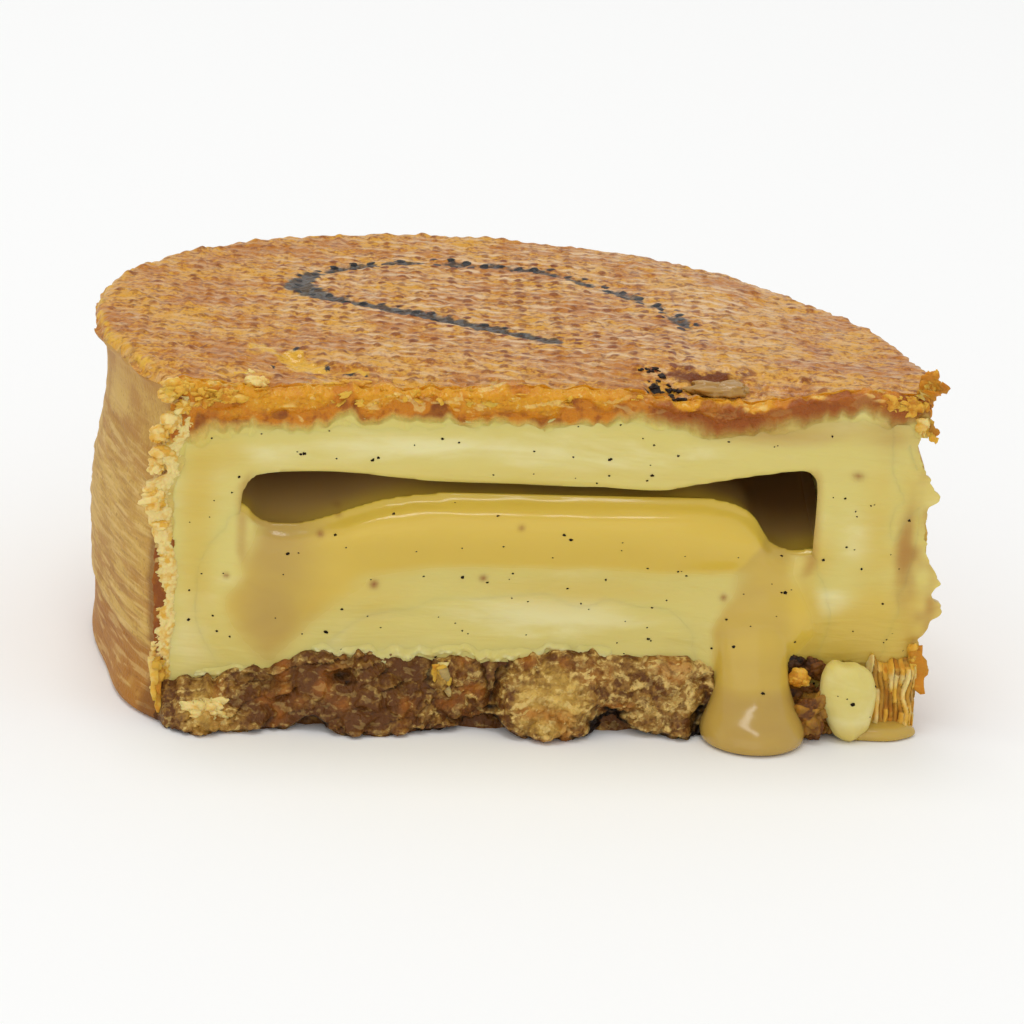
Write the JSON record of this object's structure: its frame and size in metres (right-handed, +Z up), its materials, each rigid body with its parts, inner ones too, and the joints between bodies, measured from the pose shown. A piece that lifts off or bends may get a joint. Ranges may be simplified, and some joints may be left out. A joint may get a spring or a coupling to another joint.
{
  "type": "custard tart",
  "caption": "Round laminated-pastry tart with its front cut away, showing set custard and a soft caramel centre that runs down the cut to the table.",
  "frame": {"origin": "under the middle of the round, on the plane of the table", "axes": "+Z up, -Y out of the cut face, +X to the right along the cut when facing it"},
  "size_m": [0.0988, 0.0807, 0.0431],
  "materials": {
    "pastry": "baked, golden brown, lightly glazed on top",
    "custard": "soft, moist, pale yellow with dark vanilla specks",
    "caramel": "wet, glossy, golden"
  },
  "bodies": {
    "root": {"pastry_case": "pastry", "custard": "custard", "caramel": "caramel", "custard_lump": "custard"}
  },
  "joints": []
}
